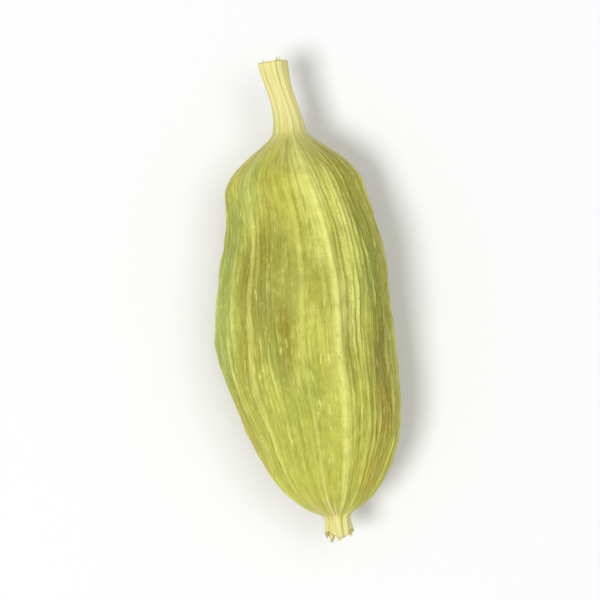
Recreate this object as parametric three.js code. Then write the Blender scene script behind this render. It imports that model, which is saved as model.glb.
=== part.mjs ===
// A dried green cardamom pod: one closed, three-sided capsule with its stalk stub and the dried
// remnant of its flower, grown as one piece and lying on a small flat spot.
// Millimetres, +Z up. +X runs along the pod to the stalk. The origin is on the resting plane, in
// the middle of the pod's box.
import * as THREE from 'three';

// Capsule
const CAPSULE_LENGTH = 17.0;
const CAPSULE_WIDTH = 8.1;
const CAPSULE_HEIGHT = 7.5;      // before its belly is pressed flat
const SHOULDER_END = 0.15;      // share of the length over which it swells out from the stalk
const SHOULDER_SHARE = 0.64;    // its radius there, as a share of the largest
const SPINDLE_END = 0.52;       // share of the length over which it goes on widening
const TIP_POWER = 4.5;          // how late it rounds off at the tip
const TIP_ROUND = 0.55;
const WIDEST = 0.5;             // share of the length, from the neck, where it is widest
const BOWS = [                  // where its middle line bows sideways: how far, place, share long
  [0.2, 0.1, 0.09],
  [0.3, 0.56, 0.14],
];
const FLAT_DEPTH = 0.25;        // how far the belly is pressed flat where it rests

// Stalk stub and flower remnant
const STALK_LENGTH = 3.0;
const STALK_RADIUS = 0.51;
const STALK_FLARE = 0.13;       // extra radius at the cut end
const STALK_FLARE_POWER = 3;    // how late along the stalk that flare comes
const NECK_FLARE = 0.2;         // extra radius where it runs into the capsule
const NECK_FADE = 3;            // how soon that fades out along the stalk
const STALK_LEAN = 0.42;        // sideways lean at the cut end
const STALK_RISE = 0.25;        // upward lean at the cut end
const REMNANT_LENGTH = 0.85;
const REMNANT_RADIUS = 0.46;
const REMNANT_FLARE = 0.16;
const REMNANT_ROOT = 0.18;      // extra radius where it stands on the capsule's tip
const ROOT_FADE = 4;
const REMNANT_LOBE = 0.16;      // how far each of its three lobes stands out past the next gap
const BLEND_POWER = 2.2;        // how roundly the stubs run into the capsule

// Rings inside the two ends: share of the end's radius, and depth below its rim
const CUT_STEPS = [[0.82, 0.03], [0.5, 0.14]];
const TORN_STEPS = [[0.8, 0.03], [0.45, 0.28]];

// Three faces between three ridges: angles about +X in degrees, from straight up towards -Y
const RIDGE_ANGLES = [17, 131, 251];
const RIDGE_SWAY = 7;           // the ridges turn back this far towards both ends
const FACE_SINK = 0.15;         // how much nearer a face's middle is than a ridge, as a share
const FACE_CURVE = 1.8;
const RIDGE_HEIGHT = 0.13;
const RIDGE_SHARE = 0.05;       // half width of a ridge's crest, as a share of a face

// Ribs along each face, swellings over the seeds, and a shallow lengthwise hollow
const RIBS_A_FACE = 6;
const RIB_HEIGHT = 0.08;
const RIB_SHARPNESS = 1.5;
const RELIEF_START = 0.4;       // the ribs have their full height where the capsule is this full
const SEED_SWELLS = 4;
const LONG_SWELLS = 1.7;
const SWELL_HEIGHT = 0.045;
const HOLLOW_DEPTH = 0.1;
const HOLLOW_SHARE = 0.16;      // half width of the hollow, as a share of a face

// Mesh
const COLUMNS_A_RIB = 4;
const CAPSULE_RINGS = 46;
const STALK_RINGS = 9;
const REMNANT_RINGS = 4;

const FACES = RIDGE_ANGLES.length;
const COLUMNS_A_FACE = RIBS_A_FACE * COLUMNS_A_RIB;
const COLUMNS = FACES * COLUMNS_A_FACE;
const FULL_TURN = 2 * Math.PI;

function smoothStep(value) {
  const t = Math.min(Math.max(value, 0), 1);
  return t * t * (3 - 2 * t);
}

// The capsule's radius as a share of its largest. along is 0 at the neck and 1 at the tip.
function capsuleShape(along) {
  if (along <= 0 || along >= 1) return 0;
  const shoulder = Math.sin((Math.PI / 2) * Math.min(along / SHOULDER_END, 1));
  const spindle = SHOULDER_SHARE + (1 - SHOULDER_SHARE) * smoothStep(along / SPINDLE_END);
  return shoulder * spindle * (1 - along ** TIP_POWER) ** TIP_ROUND;
}

function fullness(along) {
  return Math.min(capsuleShape(along) / capsuleShape(WIDEST), 1);
}

// The radius of the stalk before the neck and of the flower remnant past the tip.
function stubRadius(along) {
  if (along < WIDEST) {
    const out = Math.max(-along * CAPSULE_LENGTH / STALK_LENGTH, 0);
    const neck = NECK_FLARE * (1 - out) ** NECK_FADE;
    return STALK_RADIUS + STALK_FLARE * smoothStep(out) ** STALK_FLARE_POWER + neck;
  }
  const out = Math.max((along - 1) * CAPSULE_LENGTH / REMNANT_LENGTH, 0);
  const root = REMNANT_ROOT * Math.max(1 - out, 0) ** ROOT_FADE;
  return REMNANT_RADIUS + REMNANT_FLARE * smoothStep(out) + root;
}

function sidewaysBow(along) {
  const bow = ([reach, place, share]) => reach * Math.exp(-(((along - place) / share) ** 2));
  return BOWS.reduce((total, each) => total + bow(each), 0);
}

// The relief that a column of a ring stands above the plain radius, in millimetres.
function relief(along, face, share) {
  const full = fullness(along);
  const fade = Math.sqrt(full) * smoothStep(full / RELIEF_START);
  const fromRidge = Math.min(share, 1 - share);
  const ridge = RIDGE_HEIGHT * Math.exp(-((fromRidge / RIDGE_SHARE) ** 2));
  const crest = (1 + Math.cos(FULL_TURN * RIBS_A_FACE * share)) / 2;
  const rib = RIB_HEIGHT * crest ** RIB_SHARPNESS;
  const across = Math.sin(Math.PI * share);
  const seeds = Math.sin(FULL_TURN * (SEED_SWELLS * along + face / FACES));
  const long = Math.sin(FULL_TURN * (LONG_SWELLS * along + 2 * face / FACES));
  const swell = SWELL_HEIGHT * across * (seeds + long);
  const hollow = HOLLOW_DEPTH * Math.exp(-(((share - 0.5) / HOLLOW_SHARE) ** 2));
  return fade * (ridge + rib) + full ** 2 * (swell - hollow);
}

// A section's outline without relief: 1 at the ridges and less in the middle of each face.
function sectionRadius(along, share) {
  const towardsRidge = Math.abs(2 * share - 1) ** FACE_CURVE;
  return 1 - FACE_SINK * fullness(along) * (1 - towardsRidge);
}

// The angle of a column, in radians from straight up towards -Y.
function columnAngle(along, face, share) {
  const start = RIDGE_ANGLES[face];
  const next = face + 1 < FACES ? RIDGE_ANGLES[face + 1] : RIDGE_ANGLES[0] + 360;
  const inside = Math.min(Math.max(along, 0), 1);
  const sway = RIDGE_SWAY * (1 - Math.sin(Math.PI * inside));
  return THREE.MathUtils.degToRad(start + share * (next - start) - sway);
}

// How wide and high the plain section is at the widest place, for a radius of 1.
function sectionReach() {
  const reach = { side: 0, up: 0 };
  for (let column = 0; column < COLUMNS; column++) {
    const face = Math.floor(column / COLUMNS_A_FACE);
    const share = (column % COLUMNS_A_FACE) / COLUMNS_A_FACE;
    const radius = sectionRadius(WIDEST, share);
    const angle = columnAngle(WIDEST, face, share);
    reach.side = Math.max(reach.side, Math.abs(radius * Math.sin(angle)));
    reach.up = Math.max(reach.up, Math.abs(radius * Math.cos(angle)));
  }
  return reach;
}

const REACH = sectionReach();

// One ring of points. inward shrinks it and sink moves it towards -X, for the dished ends. lobe
// draws the ring out into one short lobe for each ridge.
function ringPoints(along, inward = 1, sink = 0, lobe = 0) {
  const full = fullness(along);
  const stub = stubRadius(along);
  const halfWidth = (CAPSULE_WIDTH / 2 - RIB_HEIGHT) / REACH.side;
  const halfHeight = (CAPSULE_HEIGHT / 2 - RIB_HEIGHT) / REACH.up;
  const blended = (radius) => (
    ((full * radius) ** BLEND_POWER + stub ** BLEND_POWER) ** (1 / BLEND_POWER)
  );
  const out = smoothStep(-along * CAPSULE_LENGTH / STALK_LENGTH);
  const centre = new THREE.Vector3(
    -along * CAPSULE_LENGTH - sink,
    sidewaysBow(along) + STALK_LEAN * out,
    STALK_RISE * out,
  );
  const points = [];
  for (let column = 0; column < COLUMNS; column++) {
    const face = Math.floor(column / COLUMNS_A_FACE);
    const share = (column % COLUMNS_A_FACE) / COLUMNS_A_FACE;
    const angle = columnAngle(along, face, share);
    const plain = sectionRadius(along, share);
    const raised = relief(along, face, share);
    const drawnOut = lobe * Math.cos(FULL_TURN * share);
    const side = -Math.sin(angle) * (blended(halfWidth) * plain + raised) * inward;
    const up = Math.cos(angle) * (blended(halfHeight) * plain + raised) * inward;
    points.push(new THREE.Vector3(centre.x - drawnOut, centre.y + side, centre.z + up));
  }
  return points;
}

// All rings from the stalk's cut end to the end of the flower remnant.
function podRings() {
  const stalkEnd = -STALK_LENGTH / CAPSULE_LENGTH;
  const remnantEnd = 1 + REMNANT_LENGTH / CAPSULE_LENGTH;
  const cut = CUT_STEPS.map(([inward, depth]) => ringPoints(stalkEnd, inward, depth));
  const rings = cut.reverse();
  for (let i = 0; i < STALK_RINGS; i++) {
    rings.push(ringPoints(stalkEnd * (1 - i / STALK_RINGS)));
  }
  for (let i = 0; i <= CAPSULE_RINGS; i++) {
    rings.push(ringPoints((1 - Math.cos(Math.PI * i / CAPSULE_RINGS)) / 2));
  }
  for (let i = 1; i <= REMNANT_RINGS; i++) {
    const out = i / REMNANT_RINGS;
    rings.push(ringPoints(1 + (remnantEnd - 1) * out, 1, 0, REMNANT_LOBE * out * out));
  }
  for (const [inward, depth] of TORN_STEPS) {
    rings.push(ringPoints(remnantEnd, inward, -depth, REMNANT_LOBE * inward ** 2));
  }
  return rings;
}

function middleOf(points) {
  const sum = points.reduce((total, point) => total.add(point), new THREE.Vector3());
  return sum.divideScalar(points.length);
}

// Skin over the rings, closed at both ends by a fan round a middle point.
function skin(rings) {
  const points = [...rings.flat(), middleOf(rings[0]), middleOf(rings[rings.length - 1])];
  const firstEnd = rings.length * COLUMNS;
  const lastEnd = firstEnd + 1;
  const lastRing = (rings.length - 1) * COLUMNS;
  const triangles = [];
  for (let column = 0; column < COLUMNS; column++) {
    const next = (column + 1) % COLUMNS;
    for (let ring = 0; ring + 1 < rings.length; ring++) {
      const a = ring * COLUMNS + column;
      const b = ring * COLUMNS + next;
      triangles.push(a, a + COLUMNS, b);
      triangles.push(b, a + COLUMNS, b + COLUMNS);
    }
    triangles.push(firstEnd, column, next);
    triangles.push(lastEnd, lastRing + next, lastRing + column);
  }
  const geometry = new THREE.BufferGeometry();
  geometry.setFromPoints(points);
  geometry.setIndex(triangles);
  return geometry;
}

// Set the pod down: the lowest FLAT_DEPTH of the belly becomes a flat spot in the plane z = 0.
function settle(geometry) {
  geometry.computeBoundingBox();
  const box = geometry.boundingBox;
  const middle = box.getCenter(new THREE.Vector3());
  geometry.translate(-middle.x, -middle.y, -box.min.z - FLAT_DEPTH);
  const position = geometry.getAttribute('position');
  for (let i = 0; i < position.count; i++) {
    position.setZ(i, Math.max(position.getZ(i), 0));
  }
  geometry.computeVertexNormals();
  return geometry;
}

const husk = new THREE.MeshStandardMaterial({ color: 0xb9bd5c, roughness: 0.75, metalness: 0 });

const podMesh = new THREE.Mesh(settle(skin(podRings())), husk);
podMesh.name = 'pod';

const pod = new THREE.Group();
pod.add(podMesh);

export default pod;
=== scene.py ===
# A dried green cardamom pod, dressed round its CAD model: husk, stalk, flower remnant and fibres.
import math

import bpy
import numpy as np
from mathutils import Matrix, Vector


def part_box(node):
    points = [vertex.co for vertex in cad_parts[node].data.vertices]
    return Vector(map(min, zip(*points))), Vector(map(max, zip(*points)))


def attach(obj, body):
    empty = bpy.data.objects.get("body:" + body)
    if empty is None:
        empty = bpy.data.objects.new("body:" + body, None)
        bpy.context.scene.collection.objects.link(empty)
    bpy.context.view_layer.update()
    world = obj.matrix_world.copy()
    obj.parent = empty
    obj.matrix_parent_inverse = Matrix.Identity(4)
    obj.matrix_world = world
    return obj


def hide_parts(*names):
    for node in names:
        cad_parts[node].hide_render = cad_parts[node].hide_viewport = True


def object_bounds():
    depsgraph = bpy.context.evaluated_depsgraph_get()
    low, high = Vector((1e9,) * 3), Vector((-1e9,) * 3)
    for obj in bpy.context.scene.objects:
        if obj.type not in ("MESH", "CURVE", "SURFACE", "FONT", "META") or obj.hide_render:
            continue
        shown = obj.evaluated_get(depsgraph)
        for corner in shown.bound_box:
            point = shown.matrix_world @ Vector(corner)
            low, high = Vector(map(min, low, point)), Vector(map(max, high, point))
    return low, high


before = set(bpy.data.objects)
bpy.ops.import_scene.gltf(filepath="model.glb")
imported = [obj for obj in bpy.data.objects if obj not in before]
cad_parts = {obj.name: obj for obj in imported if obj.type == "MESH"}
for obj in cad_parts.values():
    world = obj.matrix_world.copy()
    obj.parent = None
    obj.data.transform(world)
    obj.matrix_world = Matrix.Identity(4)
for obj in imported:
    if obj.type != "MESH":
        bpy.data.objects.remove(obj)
cad_low, cad_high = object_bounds()

MM = 0.001
FULL_TURN = 2 * math.pi

# Capsule: the CAD model's own sizes, in metres
CAPSULE_LENGTH = 17.0 * MM
CAPSULE_WIDTH = 8.1 * MM
CAPSULE_HEIGHT = 7.5 * MM
SHOULDER_END = 0.15
SHOULDER_SHARE = 0.64
SPINDLE_END = 0.52
TIP_POWER = 4.5
TIP_ROUND = 0.55
WIDEST = 0.5
BOWS = [(0.2 * MM, 0.1, 0.09), (0.3 * MM, 0.56, 0.14)]
FLAT_DEPTH = 0.25 * MM

# Stalk stub and flower remnant, as in the CAD model
STALK_LENGTH = 3.0 * MM
STALK_RADIUS = 0.51 * MM
STALK_FLARE = 0.13 * MM
STALK_FLARE_POWER = 3
NECK_FLARE = 0.2 * MM
NECK_FADE = 3
STALK_LEAN = 0.42 * MM
STALK_RISE = 0.25 * MM
REMNANT_LENGTH = 0.85 * MM
REMNANT_RADIUS = 0.46 * MM
REMNANT_FLARE = 0.16 * MM
REMNANT_ROOT = 0.18 * MM
ROOT_FADE = 4
REMNANT_LOBE = 0.16 * MM
BLEND_POWER = 2.2

# Three faces between three ridges, as in the CAD model: degrees about +X from straight up to -Y
RIDGE_ANGLES = np.array([17.0, 131.0, 251.0])
RIDGE_SWAY = 7
FACE_SINK = 0.15
FACE_CURVE = 1.8
RIDGE_HEIGHT = 0.13 * MM
RIDGE_SHARE = 0.05
RIBS_A_FACE = 6
RIB_HEIGHT = 0.08 * MM
RELIEF_START = 0.4
SEED_SWELLS = 4
LONG_SWELLS = 1.7
SWELL_HEIGHT = 0.045 * MM
HOLLOW_DEPTH = 0.1 * MM
HOLLOW_SHARE = 0.16

# Finer relief of the husk, which only this script adds
RIB_SCALE = 0.95                # against the CAD model's ribs, as fine ribs share the relief here
RIB_POWER = 2.2
FINE_RIBS = 3                   # fine ribs to each rib's width
FINE_RIB_HEIGHT = 0.055 * MM
FINE_RIB_POWER = 1.5
RIB_LEVEL = (0.2, 1.3)          # a rib's own strength
RIB_SWAY = (0.1, 0.4)           # how much that changes along the capsule
RIB_CYCLES = (0.6, 2.2)         # how often it changes
RIB_WANDER = 0.02               # how far a rib strays sideways, as a share of a face
RIDGE_LINE_SHARE = 0.03         # half width of the pale line along a ridge, as a share of a face
FIBRE_RIPPLE = 0.028 * MM
SHRINK_RIPPLE = 0.035 * MM
CREASE_RIPPLE = 0.012 * MM
RIM_RIPPLE = 0.04 * MM          # how ragged the rims of both ends are
DENTS = 16
DENT_PLACE = (0.15, 0.9)
DENT_LENGTH = (0.03, 0.09)      # as a share of the capsule's length
DENT_WIDTH = (0.1, 0.25)        # radians round the pod
DENT_DEPTH = (0.04 * MM, 0.13 * MM)
CUT_DISH = 0.16 * MM            # depth of the hollow in the stalk's cut end
TORN_DISH = 0.45 * MM           # depth of the flower remnant's shrivelled mouth
DISH_POWER = 3
STALK_FURROWS = 11
STALK_FURROW_DEPTH = 0.018 * MM
STALK_TWIST = 2.0               # radians by which its furrows turn along it
REMNANT_FURROWS = 9
REMNANT_FURROW_DEPTH = 0.035 * MM
REMNANT_CROWDING = 0.9          # how unevenly its furrows are spaced
FURROW_RIPPLE = 0.5             # random waves over the furrows, as a share of their depth

# Random waves: how many, how many crests each has round the pod, and cycles along the capsule
WANDER_WAVES = (14, (2, 12), (0.3, 1.6))
FIBRE_WAVES = (60, (40, 110), (0.2, 3))
SHRINK_WAVES = (26, (2, 9), (1, 5))
CREASE_WAVES = (60, (4, 30), (8, 22))
STALK_WAVES = (24, (6, 30), (0.5, 6))
REMNANT_WAVES = (24, (4, 20), (2, 14))
RIM_WAVES = (30, (5, 40), (0, 1))

# Patches of colour: mark, place along, degrees from straight up towards -Y, share long, degrees wide.
# Some dull patches are painted shade and some pale ones painted highlight; the rest are the husk's own
# colour.
PATCHES = [
    ("olive", 0.35, -48, 0.09, 11),
    ("olive", 0.30, -33, 0.07, 9),
    ("olive", 0.53, -16, 0.10, 8),
    ("olive", 0.64, 60, 0.22, 17),
    ("olive", 0.45, 190, 0.16, 22),
    ("fresh", 0.14, -48, 0.10, 16),
    ("fresh", 0.24, -66, 0.10, 15),
    ("fresh", 0.42, -76, 0.24, 18),
    ("fresh", 0.70, 150, 0.15, 25),
    ("ochre", 0.91, 46, 0.07, 17),
    ("ochre", 0.74, 56, 0.10, 12),
    ("ochre", 0.25, 225, 0.12, 18),
    ("ochre", 0.80, 262, 0.10, 14),
    # Darker patches: the two on the upper left face are painted shade, the one underneath is the husk's
    # own duller tone
    ("dull_and_shade", 0.38, -24, 0.19, 24),
    ("dull_and_shade", 0.60, -20, 0.08, 7),
    ("dull_and_shade", 0.30, 235, 0.16, 20),
    # Lighter patches: the four near the top ridge are painted highlight, the two further round are the
    # husk's own paler tone
    ("pale_and_highlight", 0.14, 12, 0.13, 15),
    ("pale_and_highlight", 0.24, 34, 0.15, 12),
    ("pale_and_highlight", 0.31, 9, 0.08, 7),
    ("pale_and_highlight", 0.46, 27, 0.13, 10),
    ("pale_and_highlight", 0.55, 110, 0.14, 9),
    ("pale_and_highlight", 0.72, 205, 0.10, 14),
]

# Loose fibres on the husk, frayed fibres round the stalk's cut end, papery shreds at the tip
HUSK_FIBRES = 16
FIBRE_RADIUS = (0.018 * MM, 0.034 * MM)
FIBRE_SHARE = (0.05, 0.14)      # length, as a share of the capsule's
FIBRE_STARTS = [(0.02, 0.3), (0.7, 0.96)]
FIBRE_SPAN = (0.02, 0.97)       # the part of the capsule that all fibres stay in
FIBRE_DRIFT = 12                # columns by which a fibre strays sideways
FIBRE_SWAY = 2                  # columns by which it sways to and fro
FIBRE_LIFT = (0.03 * MM, 0.22 * MM)
FIBRE_RISE = 0.2                # share of its length over which it comes out of the husk
FIBRE_TAPER = 0.75
FIBRE_FLATNESS = 0.7
FIBRE_STEPS = 18
FRAY_FIBRES = 12
FRAY_LENGTH = (0.04 * MM, 0.2 * MM)
FRAY_INSET = (0.45, 0.93)       # distance from the stalk's middle, as a share of its radius
FRAY_SPREAD = (-0.05 * MM, 0.12 * MM)
FRAY_RADIUS = (0.02 * MM, 0.05 * MM)
FRAY_TIP = 0.45                 # thickness at the end, as a share of that at the root
FRAY_ROOT = 0.35 * MM           # how far a frayed fibre reaches back into the stalk
SHREDS = 7
SHRED_LENGTH = (0.08 * MM, 0.3 * MM)
SHRED_WIDTH = (0.28 * MM, 0.5 * MM)
SHRED_UNEVEN = 0.3              # how unevenly the shreds are spaced round the remnant
SHRED_INSET = (0.55, 0.85)
SHRED_SPREAD = (-0.1 * MM, 0.22 * MM)
SHRED_CRINKLE = 0.03 * MM
CRINKLE_WAVES = (6, 12)         # radians along a shred
SHRED_RAGGED = 0.2              # how unevenly wide a shred is
RAGGED_WAVES = (8, 14)
SHRED_TAPER = 0.6
SHRED_ROOT = 0.3 * MM
SHRED_THICKNESS = 0.03 * MM
SHRED_STEPS = 10
TUBE_SIDES = 6
RINGS_BACK = 6                  # rings over which an end's direction is measured

# Husk mesh
COLUMNS_A_FACE = 120
CAPSULE_RINGS = 184
STALK_RINGS = 40
REMNANT_RINGS = 14
END_RINGS = 9
DRUM_RADIUS = 4                 # of the drum on which the finish is laid out, in millimetres

FACES = len(RIDGE_ANGLES)
COLUMNS = FACES * COLUMNS_A_FACE
STALK_END = -STALK_LENGTH / CAPSULE_LENGTH
REMNANT_END = 1 + REMNANT_LENGTH / CAPSULE_LENGTH

rng = np.random.default_rng(27)


def smooth_step(value):
    t = np.clip(value, 0, 1)
    return t * t * (3 - 2 * t)


# The pod's form
def capsule_shape(along):
    """The capsule's plain radius; along runs from 0 at the neck to 1 at the tip."""
    inside = np.clip(along, 0, 1)
    shoulder = np.sin(math.pi / 2 * np.minimum(inside / SHOULDER_END, 1))
    spindle = SHOULDER_SHARE + (1 - SHOULDER_SHARE) * smooth_step(inside / SPINDLE_END)
    return shoulder * spindle * (1 - inside**TIP_POWER) ** TIP_ROUND


def fullness(along):
    return np.minimum(capsule_shape(along) / capsule_shape(WIDEST), 1)


def stalk_way(along):
    """0 at the neck and 1 at the stalk's cut end."""
    return -along * CAPSULE_LENGTH / STALK_LENGTH


def remnant_way(along):
    """0 at the capsule's tip and 1 at the flower remnant's torn end."""
    return (along - 1) * CAPSULE_LENGTH / REMNANT_LENGTH


def stub_radius(along):
    """The radius of the stalk before the neck and of the flower remnant past the tip."""
    out = stalk_way(along)
    neck = NECK_FLARE * (1 - np.clip(out, 0, 1)) ** NECK_FADE
    stalk = STALK_RADIUS + STALK_FLARE * smooth_step(out) ** STALK_FLARE_POWER + neck
    past_tip = np.clip(remnant_way(along), 0, 1)
    root = REMNANT_ROOT * (1 - past_tip) ** ROOT_FADE
    remnant = REMNANT_RADIUS + REMNANT_FLARE * smooth_step(past_tip) + root
    return np.where(along < WIDEST, stalk, remnant)


def sideways_bow(along):
    return sum(reach * np.exp(-(((along - place) / share) ** 2)) for reach, place, share in BOWS)


def column_angle(along, face, share):
    start = RIDGE_ANGLES[face]
    stop = np.append(RIDGE_ANGLES[1:], RIDGE_ANGLES[0] + 360)[face]
    sway = RIDGE_SWAY * (1 - np.sin(math.pi * np.clip(along, 0, 1)))
    return np.radians(start + share * (stop - start) - sway)


def section_radius(along, share):
    towards_ridge = np.abs(2 * share - 1) ** FACE_CURVE
    return 1 - FACE_SINK * fullness(along) * (1 - towards_ridge)


def section_reach():
    """How wide and high the plain section is at the widest place, for a radius of 1."""
    face, share = column_places()
    angle = column_angle(WIDEST, face, share)
    radius = section_radius(WIDEST, share)
    return np.abs(radius * np.sin(angle)).max(), np.abs(radius * np.cos(angle)).max()


def column_places():
    """Each column's face, and its share of the way across that face."""
    column = np.arange(COLUMNS)
    return column // COLUMNS_A_FACE, (column % COLUMNS_A_FACE) / COLUMNS_A_FACE


def ripple(along, turn, waves, around, lengthwise):
    """Random waves with a spread of about 1, seamless round the pod."""
    total = np.zeros(np.broadcast(along, turn).shape)
    for _ in range(waves):
        count = rng.integers(around[0], around[1] + 1)
        cycles = rng.uniform(*lengthwise) * rng.choice([-1, 1])
        total += np.sin(count * turn + FULL_TURN * cycles * along + rng.uniform(0, FULL_TURN))
    return total / math.sqrt(waves / 2)


def rib_strengths(along, count):
    """A slowly changing strength for each of count ribs at each place along the pod."""
    level = rng.uniform(*RIB_LEVEL, count)
    sway = rng.uniform(*RIB_SWAY, count)
    cycles = rng.uniform(*RIB_CYCLES, count)
    phase = rng.uniform(0, FULL_TURN, count)
    return level * (1 + sway * np.sin(FULL_TURN * cycles * along + phase))


def rib_relief(along, face, share, ribs_a_face, power):
    """Crests from 0 to about 1 along each face, each rib with a strength of its own."""
    strengths = rib_strengths(along, FACES * ribs_a_face)
    place = share * ribs_a_face
    rib = (face * ribs_a_face + np.rint(place).astype(int)) % (FACES * ribs_a_face)
    rows = np.arange(along.shape[0])[:, None]
    crest = ((1 + np.cos(FULL_TURN * place)) / 2) ** power
    return crest * strengths[rows, rib]


def dents(along, turn):
    """Shallow oval dents, longer along the fibres than across them."""
    total = np.zeros(np.broadcast(along, turn).shape)
    for _ in range(DENTS):
        place = rng.uniform(*DENT_PLACE)
        angle = rng.uniform(0, FULL_TURN)
        length = rng.uniform(*DENT_LENGTH)
        width = rng.uniform(*DENT_WIDTH)
        depth = rng.uniform(*DENT_DEPTH)
        across = np.angle(np.exp(1j * (turn - angle))) / width
        total -= depth * np.exp(-(((along - place) / length) ** 2) - across**2)
    return total


def stub_relief(along, turn):
    """Lengthwise furrows of the stalk and of the shrivelled flower remnant."""
    stalk = np.cos(STALK_FURROWS * turn + STALK_TWIST * stalk_way(along))
    stalk = STALK_FURROW_DEPTH * (stalk + FURROW_RIPPLE * ripple(along, turn, *STALK_WAVES))
    remnant = np.cos(REMNANT_FURROWS * turn + REMNANT_CROWDING * np.sin(2 * turn))
    remnant = REMNANT_FURROW_DEPTH * (remnant + FURROW_RIPPLE * ripple(along, turn, *REMNANT_WAVES))
    return np.where(along < WIDEST, stalk, remnant)


def patch_marks(along, angle):
    """For each kind of patch, how strongly it shows at each place on the husk, from 0 to 1."""
    marks = {}
    for kind, place, degrees, length, width in PATCHES:
        across = np.degrees(np.angle(np.exp(1j * (angle - math.radians(degrees))))) / width
        patch = np.exp(-(((along - place) / length) ** 2) - across**2)
        marks[kind] = np.maximum(marks.get(kind, 0), patch)
    return marks


def husk_relief(along, face, share, turn):
    """The relief above the plain radius, and the crest and ridge marks that the finish reads."""
    full = fullness(along)
    fade = np.sqrt(full) * smooth_step(full / RELIEF_START)
    from_ridge = np.minimum(share, 1 - share)
    ridge_crest = np.exp(-((from_ridge / RIDGE_SHARE) ** 2))
    ridge_line = np.exp(-((from_ridge / RIDGE_LINE_SHARE) ** 2)) * np.ones_like(along)
    wander = RIB_WANDER * ripple(along, turn, *WANDER_WAVES) * np.sin(math.pi * share)
    wandered = np.clip(share + wander, 0, 1)
    ribs = rib_relief(along, face, wandered, RIBS_A_FACE, RIB_POWER)
    fine_ribs = rib_relief(along, face, wandered, RIBS_A_FACE * FINE_RIBS, FINE_RIB_POWER)
    across = np.sin(math.pi * share)
    seeds = np.sin(FULL_TURN * (SEED_SWELLS * along + face / FACES))
    long = np.sin(FULL_TURN * (LONG_SWELLS * along + 2 * face / FACES))
    swell = SWELL_HEIGHT * across * (seeds + long)
    hollow = HOLLOW_DEPTH * np.exp(-(((share - 0.5) / HOLLOW_SHARE) ** 2))
    fibres = FIBRE_RIPPLE * ripple(along, turn, *FIBRE_WAVES)
    shrink = SHRINK_RIPPLE * ripple(along, turn, *SHRINK_WAVES)
    creases = CREASE_RIPPLE * ripple(along, turn, *CREASE_WAVES)
    lengthwise = RIDGE_HEIGHT * ridge_crest + RIB_SCALE * RIB_HEIGHT * ribs + FINE_RIB_HEIGHT * fine_ribs
    soft = swell - hollow + shrink + dents(along, turn)
    relief = fade * (lengthwise + fibres + creases) + full**2 * soft
    relief = relief + (1 - fade) * stub_relief(along, turn)
    return relief, (ribs + fine_ribs) / 2, ridge_line


def ring_stations():
    """Every ring's place along the pod, how far it is drawn in, and how far sunk into an end."""
    drawn_in = np.linspace(0, 1, END_RINGS + 1)[1:-1]
    dish = 1 - drawn_in**DISH_POWER
    stalk = np.linspace(STALK_END, 0, STALK_RINGS, endpoint=False)
    capsule = (1 - np.cos(math.pi * np.linspace(0, 1, CAPSULE_RINGS))) / 2
    remnant = np.linspace(1, REMNANT_END, REMNANT_RINGS + 1)[1:]
    body = np.concatenate([stalk, capsule, remnant])
    ends = np.ones_like(drawn_in)
    along = np.concatenate([STALK_END * ends, body, REMNANT_END * ends])
    inward = np.concatenate([drawn_in, np.ones_like(body), drawn_in[::-1]])
    sink = np.concatenate([-CUT_DISH * dish, np.zeros_like(body), TORN_DISH * dish[::-1]])
    return along[:, None], inward[:, None], sink[:, None]


def husk_points():
    """The husk's vertices, ring by ring, and the marks and places that its finish reads."""
    along, inward, sink = ring_stations()
    face, share = column_places()
    turn = FULL_TURN * np.arange(COLUMNS) / COLUMNS
    relief, crest, ridge = husk_relief(along, face, share, turn)
    reach_side, reach_up = section_reach()
    full, stub = fullness(along), stub_radius(along)
    out = smooth_step(stalk_way(along))

    def blended(half_size):
        grown = full * half_size
        return (grown**BLEND_POWER + stub**BLEND_POWER) ** (1 / BLEND_POWER)

    angle = column_angle(along, face, share)
    plain = section_radius(along, share)
    half_width = blended((CAPSULE_WIDTH / 2 - RIB_HEIGHT) / reach_side) * plain
    half_height = blended((CAPSULE_HEIGHT / 2 - RIB_HEIGHT) / reach_up) * plain
    fray = RIM_RIPPLE * ripple(along, turn, *RIM_WAVES) * (np.abs(sink) > 0)
    lobe = REMNANT_LOBE * np.clip(remnant_way(along), 0, 1) ** 2 * np.cos(FULL_TURN * share) * inward**2
    x = -along * CAPSULE_LENGTH + sink + fray - lobe
    y = sideways_bow(along) + STALK_LEAN * out - np.sin(angle) * (half_width + relief) * inward
    z = STALK_RISE * out + np.cos(angle) * (half_height + relief) * inward
    points = np.stack(np.broadcast_arrays(x, y, z), axis=-1)
    marks = {
        "along": np.broadcast_to(along, y.shape),
        "crest": crest,
        "ridge": ridge,
        "inward": np.broadcast_to(inward, y.shape),
        "girth": np.maximum(full, stub * 2 / CAPSULE_WIDTH) * np.ones_like(y),
        **patch_marks(along, angle),
    }
    drum = (DRUM_RADIUS * np.cos(turn), DRUM_RADIUS * np.sin(turn), along * CAPSULE_LENGTH / MM)
    return points, marks, np.stack(np.broadcast_arrays(*drum), axis=-1)


def settle(points):
    """Set the husk down inside the CAD box, its belly pressed flat on the surface."""
    low, high = points.reshape(-1, 3).min(axis=0), points.reshape(-1, 3).max(axis=0)
    node_low, node_high = (np.array(corner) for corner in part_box("pod"))
    middle = (node_low + node_high) / 2
    shift = middle - (low + high) / 2
    shift[2] = node_low[2] - low[2] - FLAT_DEPTH
    points = points + shift
    points[..., 2] = np.maximum(points[..., 2], node_low[2])
    return points


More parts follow.
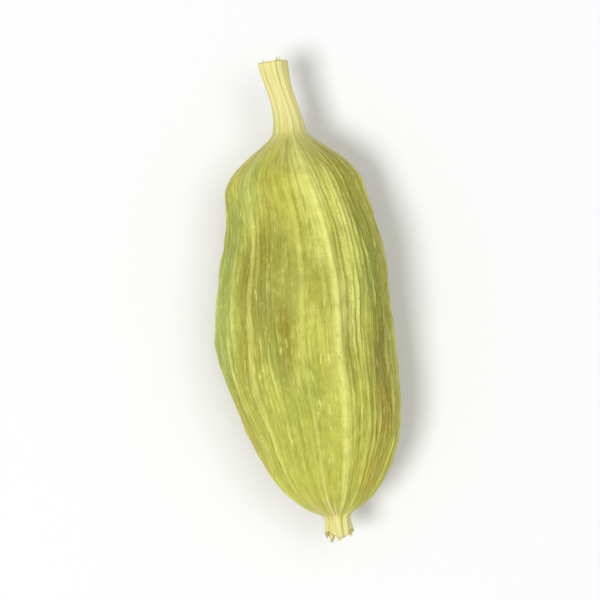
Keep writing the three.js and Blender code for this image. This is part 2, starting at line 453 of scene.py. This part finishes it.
def grid_faces(rings, columns):
    """Quads between rings, with a fan at each end round a middle vertex."""
    ring = np.arange(rings - 1)[:, None] * columns
    column = np.arange(columns)
    following = (column + 1) % columns
    quads = np.stack(
        [ring + column, ring + columns + column, ring + columns + following, ring + following], axis=-1
    )
    faces = quads.reshape(-1, 4).tolist()
    first, last = rings * columns, rings * columns + 1
    top = (rings - 1) * columns
    faces += [[first, a, b] for a, b in zip(column.tolist(), following.tolist())]
    faces += [[last, top + b, top + a] for a, b in zip(column.tolist(), following.tolist())]
    return faces


def new_piece(name, points, faces, material, smooth=True):
    mesh = bpy.data.meshes.new(name)
    mesh.from_pydata(np.asarray(points).tolist(), [], faces)
    mesh.update()
    if smooth:
        mesh.shade_smooth()
    piece = bpy.data.objects.new(name, mesh)
    bpy.context.scene.collection.objects.link(piece)
    mesh.materials.append(material)
    return piece


def add_marks(mesh, marks, places):
    for name, values in marks.items():
        mesh.attributes.new(name, "FLOAT", "POINT").data.foreach_set("value", values.astype(np.float32))
    flat = places.astype(np.float32).ravel()
    mesh.attributes.new("fibre_place", "FLOAT_VECTOR", "POINT").data.foreach_set("vector", flat)


def make_husk(material):
    points, marks, places = husk_points()
    points = settle(points)
    ends = np.stack([points[0].mean(axis=0), points[-1].mean(axis=0)])
    all_points = np.concatenate([points.reshape(-1, 3), ends])
    husk = new_piece("husk", all_points, grid_faces(*points.shape[:2]), material)

    def with_ends(values):
        end_values = np.stack([values[0].mean(axis=0), values[-1].mean(axis=0)])
        return np.concatenate([values.reshape(-1, *values.shape[2:]), end_values])

    add_marks(husk.data, {name: with_ends(v) for name, v in marks.items()}, with_ends(places))
    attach(husk, "root")
    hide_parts("pod")
    return points, marks["along"][:, 0]


# Fibres and papery shreds
class Shape:
    """Vertices and faces gathered from several closed forms into one mesh."""

    def __init__(self):
        self.points, self.faces = [], []

    def add(self, rings):
        """A closed form skinned over rings, with a point at each end."""
        rings = np.asarray(rings)
        count, sides = rings.shape[:2]
        start = sum(len(block) for block in self.points)
        ends = np.stack([rings[0].mean(axis=0), rings[-1].mean(axis=0)])
        self.points.append(np.concatenate([rings.reshape(-1, 3), ends]))
        self.faces += [[start + corner for corner in face] for face in grid_faces(count, sides)]

    def make(self, name, material):
        piece = new_piece(name, np.concatenate(self.points), self.faces, material)
        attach(piece, "root")


def unit(vectors):
    return vectors / np.linalg.norm(vectors, axis=-1, keepdims=True)


def sections(path, outward, half_width, half_height, sides):
    """Oval rings along path: half_width across it and half_height along outward."""
    forward = unit(np.gradient(path, axis=0))
    across = unit(np.cross(outward, forward))
    up = np.cross(forward, across)
    turn = FULL_TURN * np.arange(sides) / sides
    wide = half_width[:, None, None] * across[:, None] * np.cos(turn)[None, :, None]
    high = half_height[:, None, None] * up[:, None] * np.sin(turn)[None, :, None]
    return path[:, None] + wide + high


def surface_normals(points):
    lengthwise = np.gradient(points, axis=0)
    around = np.roll(points, -1, axis=1) - np.roll(points, 1, axis=1)
    return unit(np.cross(lengthwise, around))


def between(grid, ring, column):
    """A grid's values at places between its rings and columns."""
    ring_below, column_below = np.floor(ring).astype(int), np.floor(column).astype(int)
    over, along = (column - column_below)[:, None], (ring - ring_below)[:, None]
    left, right = column_below % COLUMNS, (column_below + 1) % COLUMNS
    near = (1 - over) * grid[ring_below, left] + over * grid[ring_below, right]
    far = (1 - over) * grid[ring_below + 1, left] + over * grid[ring_below + 1, right]
    return (1 - along) * near + along * far


def make_husk_fibres(points, along, material):
    """Fine fibres that have come loose from the husk: rooted in it, with one end lifted."""
    normals = surface_normals(points)
    body = np.arange(END_RINGS - 1, len(along) - END_RINGS + 1)
    shape = Shape()
    for _ in range(HUSK_FIBRES):
        length = rng.uniform(*FIBRE_SHARE) * rng.choice([-1, 1])
        near_end = rng.choice([rng.uniform(*start) for start in FIBRE_STARTS])
        root = np.clip(near_end, FIBRE_SPAN[0] - min(length, 0), FIBRE_SPAN[1] - max(length, 0))
        way = np.linspace(0, 1, FIBRE_STEPS)
        drift = rng.uniform(-FIBRE_DRIFT, FIBRE_DRIFT) * way**2
        sway = rng.uniform(-FIBRE_SWAY, FIBRE_SWAY) * np.sin(FULL_TURN * way)
        column = rng.uniform(0, COLUMNS) + drift + sway
        ring = np.interp(root + length * way, along[body], body)
        foot = between(points, ring, column)
        outward = unit(between(normals, ring, column))
        radius = rng.uniform(*FIBRE_RADIUS) * (1 - FIBRE_TAPER * way**2)
        lift = rng.uniform(*FIBRE_LIFT) * way**3
        height = radius * smooth_step(way / FIBRE_RISE) - radius + lift
        path = foot + height[:, None] * outward
        shape.add(sections(path, outward, radius, FIBRE_FLATNESS * radius, TUBE_SIDES))
    shape.make("husk_fibres", material)


def end_fibre(middle, radial, forward, reach, spread, root):
    """A path out of one of the pod's ends, bending away from its middle line."""
    way = np.linspace(0, 1, SHRED_STEPS)
    outwards = np.outer(-root + (reach + root) * way, forward)
    return middle + outwards + np.outer(spread * way**2, radial)


def ring_frame(rim):
    """The middle of a ring of points, and each point's direction and distance from it."""
    middle = rim.mean(axis=0)
    from_middle = rim - middle
    return middle, unit(from_middle), np.linalg.norm(from_middle, axis=1)


def make_frayed_fibres(points, material):
    """Stiff fibre ends that stand out of the stalk where it was cut."""
    middle, radials, distances = ring_frame(points[END_RINGS - 1])
    forward = unit(middle - points[END_RINGS + RINGS_BACK].mean(axis=0))
    shape = Shape()
    for _ in range(FRAY_FIBRES):
        column = rng.integers(COLUMNS)
        root = middle + rng.uniform(*FRAY_INSET) * distances[column] * radials[column]
        reach = rng.uniform(*FRAY_LENGTH)
        spread = rng.uniform(*FRAY_SPREAD)
        path = end_fibre(root, radials[column], forward, reach, spread, FRAY_ROOT)
        radius = rng.uniform(*FRAY_RADIUS) * np.linspace(1, FRAY_TIP, SHRED_STEPS)
        shape.add(sections(path, radials[column], radius, radius, TUBE_SIDES))
    shape.make("frayed_fibres", material)


def random_wave(way, waves):
    return np.sin(rng.uniform(*waves) * way + rng.uniform(0, FULL_TURN))


def make_shreds(points, material):
    """Dry papery shreds, all that is left of the flower, curling out of the tip."""
    middle, radials, distances = ring_frame(points[-END_RINGS])
    forward = unit(middle - points[-END_RINGS - RINGS_BACK].mean(axis=0))
    shape = Shape()
    for index in range(SHREDS):
        uneven = rng.uniform(-SHRED_UNEVEN, SHRED_UNEVEN)
        column = int((index + uneven) * COLUMNS / SHREDS) % COLUMNS
        root = middle + rng.uniform(*SHRED_INSET) * distances[column] * radials[column]
        spread = rng.uniform(*SHRED_SPREAD)
        reach = rng.uniform(*SHRED_LENGTH)
        path = end_fibre(root, radials[column], forward, reach, spread, SHRED_ROOT)
        way = np.linspace(0, 1, SHRED_STEPS)
        crinkle = SHRED_CRINKLE * random_wave(way, CRINKLE_WAVES)
        path = path + np.outer(crinkle, radials[column])
        ragged = 1 + SHRED_RAGGED * random_wave(way, RAGGED_WAVES)
        width = rng.uniform(*SHRED_WIDTH) / 2 * (1 - SHRED_TAPER * way**4) * ragged
        thickness = np.full(SHRED_STEPS, SHRED_THICKNESS / 2)
        shape.add(sections(path, radials[column], width, thickness, 2 * TUBE_SIDES))
    shape.make("flower_shreds", material)


# Finishes
def colour(red, green, blue):
    """A screen colour from 0 to 255 as linear red, green, blue and alpha."""
    screen = np.array([red, green, blue]) / 255
    linear = np.where(screen <= 0.04045, screen / 12.92, ((screen + 0.055) / 1.055) ** 2.4)
    return (*linear.tolist(), 1.0)


class Finish:
    """A material with short calls for its nodes."""

    def __init__(self, name, specular):
        self.material = bpy.data.materials.new(name)
        self.material.use_nodes = True
        self.tree = self.material.node_tree
        self.shader = self.tree.nodes["Principled BSDF"]
        self.shader.inputs["Specular IOR Level"].default_value = specular

    def add(self, kind, inputs, **settings):
        node = self.tree.nodes.new(kind)
        for name, value in settings.items():
            setattr(node, name, value)
        for place, value in inputs.items():
            self.put(node.inputs[place], value)
        return node

    def put(self, socket, value):
        if isinstance(value, bpy.types.NodeSocket):
            self.tree.links.new(value, socket)
        else:
            socket.default_value = value

    def mark(self, name, output="Fac"):
        return self.add("ShaderNodeAttribute", {}, attribute_name=name).outputs[output]

    def noise(self, place, density, detail, roughness, distortion):
        """Noise from 0 to 1; density is how fine it is along each of the place's axes."""
        scaled = self.add("ShaderNodeVectorMath", {0: place, 1: density}, operation="MULTIPLY")
        inputs = {
            "Vector": scaled.outputs[0],
            "Scale": 1.0,
            "Detail": detail,
            "Roughness": roughness,
            "Distortion": distortion,
        }
        return self.add("ShaderNodeTexNoise", inputs).outputs["Fac"]

    def span(self, value, low, high, to_low=0.0, to_high=1.0):
        inputs = {"Value": value, "From Min": low, "From Max": high, "To Min": to_low, "To Max": to_high}
        node = self.add("ShaderNodeMapRange", inputs, interpolation_type="SMOOTHSTEP")
        return node.outputs["Result"]

    def math(self, operation, first, second):
        return self.add("ShaderNodeMath", {0: first, 1: second}, operation=operation).outputs[0]

    def mix(self, share, first, second):
        node = self.add("ShaderNodeMix", {0: share, 6: first, 7: second}, data_type="RGBA")
        return node.outputs[2]

    def bump(self, height, distance, normal=None):
        inputs = {"Height": height, "Distance": distance}
        if normal is not None:
            inputs["Normal"] = normal
        return self.add("ShaderNodeBump", inputs).outputs["Normal"]

    def layers(self, base, guides, layers):
        """Base with each layer's tint laid over it, as strongly as the layer's guide says."""
        for guide, (start, stop), (weak, strong), tint in layers:
            base = self.mix(self.span(guides[guide], start, stop, weak, strong), base, tint)
        return base

    def wear(self, base_colour, roughness, normal=None):
        self.put(self.shader.inputs["Base Color"], base_colour)
        self.put(self.shader.inputs["Roughness"], roughness)
        if normal is not None:
            self.put(self.shader.inputs["Normal"], normal)

    def glow(self, weight, reach, scale):
        """Light that soaks a little way into the surface, further in some colours."""
        self.shader.inputs["Subsurface Weight"].default_value = weight
        self.shader.inputs["Subsurface Radius"].default_value = reach
        self.shader.inputs["Subsurface Scale"].default_value = scale


GREEN = colour(160, 168, 64)
OLIVE = colour(168, 162, 58)
YELLOW = colour(199, 199, 80)
VEIN = colour(226, 226, 124)
DULL = colour(138, 138, 52)
FRESH = colour(146, 170, 84)
OCHRE = colour(186, 162, 50)
DARK_OLIVE = colour(146, 137, 34)
TAN = colour(204, 186, 108)
STRAW = colour(228, 220, 152)
STRAW_SHADE = colour(206, 198, 116)
BROWN = colour(120, 92, 46)

# Marks on the husk's mesh, and noises: how fine across and along the fibres, then their other inputs
MARKS = ["along", "crest", "ridge", "inward", "girth"]
NOISES = {
    "streaks": ((5.0, 0.22), 4.0, 0.65, 0.3),
    "patches": ((0.28, 0.13), 2.0, 0.5, 0.0),
    "tone": ((0.5, 0.2), 3.0, 0.6, 0.0),
    "pebbles": ((2.6, 1.8), 2.0, 0.55, 0.2),
    "blotches": ((0.7, 0.35), 4.0, 0.7, 0.6),
    "flecks": ((8.0, 1.4), 2.0, 0.5, 0.0),
    "specks": ((9.0, 3.0), 1.0, 0.5, 0.0),
    "straw_streaks": ((4.0, 0.5), 4.0, 0.6, 0.0),
    "blots": ((1.1, 1.6), 3.0, 0.6, 0.0),
    "hairlines": ((7.0, 0.35), 3.0, 0.6, 0.0),
    "wrinkles": ((2.4, 5.0), 3.0, 0.6, 0.4),
    "grain": ((9.0, 7.0), 2.0, 0.6, 0.0),
}

# Layers of colour: the mark or noise it follows, two of its values, how strong the tint is at each
GREEN_LAYERS = [
    ("patches", (0.38, 0.62), (0.0, 1.0), OLIVE),
    ("tone", (0.4, 0.66), (0.0, 0.8), YELLOW),
    ("along", (0.5, 0.95), (0.0, 0.6), YELLOW),
]
VEIN_LAYERS = [
    ("streaks", (0.35, 0.5), (0.3, 0.0), DULL),
    ("streaks", (0.52, 0.7), (0.0, 0.35), VEIN),
    ("crest", (0.2, 1.0), (0.0, 0.4), VEIN),
    ("ridge", (0.1, 1.0), (0.0, 0.72), VEIN),
    ("pebbles", (0.5, 0.34), (0.0, 0.22), DULL),
    ("pebbles", (0.54, 0.7), (0.0, 0.2), VEIN),
    ("blotches", (0.62, 0.74), (0.0, 0.4), TAN),
    ("flecks", (0.62, 0.72), (0.0, 0.6), VEIN),
    ("specks", (0.28, 0.2), (0.0, 0.45), BROWN),
]
STRAW_LAYERS = [
    ("straw_streaks", (0.34, 0.62), (0.0, 1.0), STRAW),
    ("blots", (0.6, 0.75), (0.0, 0.4), TAN),
    ("inward", (0.9, 0.72), (0.0, 0.55), TAN),
    ("inward", (0.6, 0.2), (0.0, 0.75), BROWN),
]
# Tints laid over the patches; the dull tint is partly painted shade and the pale tint partly painted
# highlight
PATCH_TINTS = [
    ("dull_and_shade", DULL, 0.62),
    ("olive", DARK_OLIVE, 0.8),
    ("fresh", FRESH, 0.55),
    ("ochre", OCHRE, 0.6),
    ("pale_and_highlight", VEIN, 0.55),
]
PATCH_EDGE = (0.2, 0.85)
PATCH_UNEVEN = (0.3, 0.7, -0.16, 0.16)      # how the streaks break up the edges of the patches

# The rest of the husk's finish: where it turns to straw, its gloss, its bumps and its glow
DRY_AT_STALK = (0.11, -0.06)
DRY_AT_TIP = (0.97, 1.01)
DRY_UNEVEN = 0.3
SPECULAR = 0.35
ROUGHNESS = (0.3, 0.7, 0.62, 0.42)          # two values of the streaks, and the roughness at each
BUMPS = [("hairlines", 0.12 * MM), ("wrinkles", 0.07 * MM), ("grain", 0.03 * MM)]
GLOW = (0.15, (1.0, 0.9, 0.35), 0.5 * MM)   # how much light soaks in, how far by colour, its scale

# Loose fibres and papery shreds
PAPER_ROUGHNESS = 0.7
PAPER_SPECULAR = 0.25
PAPER_NOISE = ((2.0 / MM, 9.0 / MM, 9.0 / MM), 3.0, 0.6, 0.0)
PAPER_SPAN = (0.35, 0.65)
PAPER_BUMP = 0.04 * MM
PAPER_GLOW = (0.2, (1.0, 0.9, 0.5), 0.2 * MM)


def husk_guides(finish):
    """Everything that the husk's colour, roughness and bumps follow."""
    place = finish.mark("fibre_place", "Vector")
    guides = {name: finish.mark(name) for name in MARKS}
    for name, ((across, lengthwise), *look) in NOISES.items():
        guides[name] = finish.noise(place, (across, across, lengthwise), *look)
    return guides


def husk_colour(finish, guides):
    """Greens and yellows in patches, veins and flecks along the fibres, with some patches of painted
    shade and painted highlight.
    """
    base = finish.layers(GREEN, guides, GREEN_LAYERS)
    uneven = finish.span(guides["streaks"], *PATCH_UNEVEN)
    for kind, tint, strength in PATCH_TINTS:
        ragged = finish.math("ADD", finish.mark(kind), uneven)
        base = finish.mix(finish.span(ragged, *PATCH_EDGE, 0.0, strength), base, tint)
    return finish.layers(base, guides, VEIN_LAYERS)


def dryness(finish, guides):
    """1 on the straw-coloured stalk and flower remnant, and 0 on the green capsule."""
    centred = finish.math("SUBTRACT", guides["streaks"], 0.5)
    along = finish.math("ADD", guides["along"], finish.math("MULTIPLY", centred, DRY_UNEVEN))
    at_stalk, at_tip = finish.span(along, *DRY_AT_STALK), finish.span(along, *DRY_AT_TIP)
    return finish.math("MAXIMUM", at_stalk, at_tip)


def husk_finish():
    finish = Finish("husk", SPECULAR)
    guides = husk_guides(finish)
    straw = finish.layers(STRAW_SHADE, guides, STRAW_LAYERS)
    base = finish.mix(dryness(finish, guides), husk_colour(finish, guides), straw)
    normal = None
    for name, distance in BUMPS:
        height = finish.math("MULTIPLY", guides[name], guides["girth"])
        normal = finish.bump(height, distance, normal)
    finish.wear(base, finish.span(guides["streaks"], *ROUGHNESS), normal)
    finish.glow(*GLOW)
    return finish.material


def papery_finish(name, shade, tint):
    """Thin dry fibre or paper, darker in streaks."""
    finish = Finish(name, PAPER_SPECULAR)
    place = finish.add("ShaderNodeTexCoord", {}).outputs["Object"]
    streaks = finish.noise(place, *PAPER_NOISE)
    base = finish.mix(finish.span(streaks, *PAPER_SPAN), shade, tint)
    finish.wear(base, PAPER_ROUGHNESS, finish.bump(streaks, PAPER_BUMP))
    finish.glow(*PAPER_GLOW)
    return finish.material


# Floor, light and camera
FLOOR_SIZE = 3.0
FLOOR_DROP = 0.01 * MM               # how far the floor lies below the pod's flat spot
FLOOR_COLOUR = (0.80, 0.80, 0.81, 1.0)
FLOOR_ROUGHNESS = 0.9
FLOOR_SPECULAR = 0.2
WHITE = (1.0, 1.0, 1.0, 1.0)
WORLD_STRENGTH = 0.46
LIGHTS = [                           # name, place, size across and power
    ("key", (-0.05, 0.15, 0.39), 0.14, 1.05),
    ("top", (0.04, -0.14, 0.43), 0.3, 0.55),
]
LIGHT_UP = Vector((0.3, 0.1, 1))
MIDDLE = Vector((0, 0, 3.4 * MM))    # what the lights and the camera point at
PICTURE_TILT = math.radians(6.9)     # the pod leans this far left of upright in the picture
POD_SHARE = 0.8                      # share of the picture's height that the pod fills
LENS = 150.0
SENSOR = 36.0
CLIP_NEAR, CLIP_FAR = 0.05, 100      # as shares of the camera's distance


def make_floor():
    size = FLOOR_SIZE
    corners = [(-size, -size, 0), (size, -size, 0), (size, size, 0), (-size, size, 0)]
    finish = Finish("floor", FLOOR_SPECULAR)
    finish.wear(FLOOR_COLOUR, FLOOR_ROUGHNESS)
    floor = new_piece("floor", corners, [[0, 1, 2, 3]], finish.material, smooth=False)
    floor.location.z = -FLOOR_DROP


def aim(obj, place, target, up):
    """Put obj at place, looking along its own -Z at target, with up as its picture's up."""
    back = (place - target).normalized()
    right = up.cross(back).normalized()
    true_up = back.cross(right)
    turn = Matrix((right, true_up, back)).transposed()
    obj.matrix_world = Matrix.Translation(place) @ turn.to_4x4()


def make_light(name, place, size, power):
    data = bpy.data.lights.new(name, "AREA")
    data.shape = "DISK"
    data.size = size
    data.energy = power
    light = bpy.data.objects.new(name, data)
    bpy.context.scene.collection.objects.link(light)
    aim(light, Vector(place), MIDDLE, LIGHT_UP)


def make_camera():
    data = bpy.data.cameras.new("camera")
    data.lens = LENS
    data.sensor_width = SENSOR
    camera = bpy.data.objects.new("camera", data)
    bpy.context.scene.collection.objects.link(camera)
    length = cad_high.x - cad_low.x
    distance = length / POD_SHARE * LENS / SENSOR
    data.clip_start, data.clip_end = distance * CLIP_NEAR, distance * CLIP_FAR
    up = Vector((math.cos(PICTURE_TILT), -math.sin(PICTURE_TILT), 0))
    aim(camera, MIDDLE + Vector((0, 0, distance)), MIDDLE, up)
    bpy.context.scene.camera = camera


def make_world():
    world = bpy.data.worlds.new("studio")
    world.use_nodes = True
    background = world.node_tree.nodes["Background"]
    background.inputs["Color"].default_value = WHITE
    background.inputs["Strength"].default_value = WORLD_STRENGTH
    bpy.context.scene.world = world


def make_stage():
    make_floor()
    make_world()
    for light in LIGHTS:
        make_light(*light)
    make_camera()
    bpy.context.scene.view_settings.view_transform = "Standard"


make_stage()
husk_grid, ring_places = make_husk(husk_finish())
fibre_material = papery_finish("fibre", YELLOW, STRAW_SHADE)
make_husk_fibres(husk_grid, ring_places, fibre_material)
make_frayed_fibres(husk_grid, fibre_material)
make_shreds(husk_grid, papery_finish("dry_petal", STRAW_SHADE, STRAW))
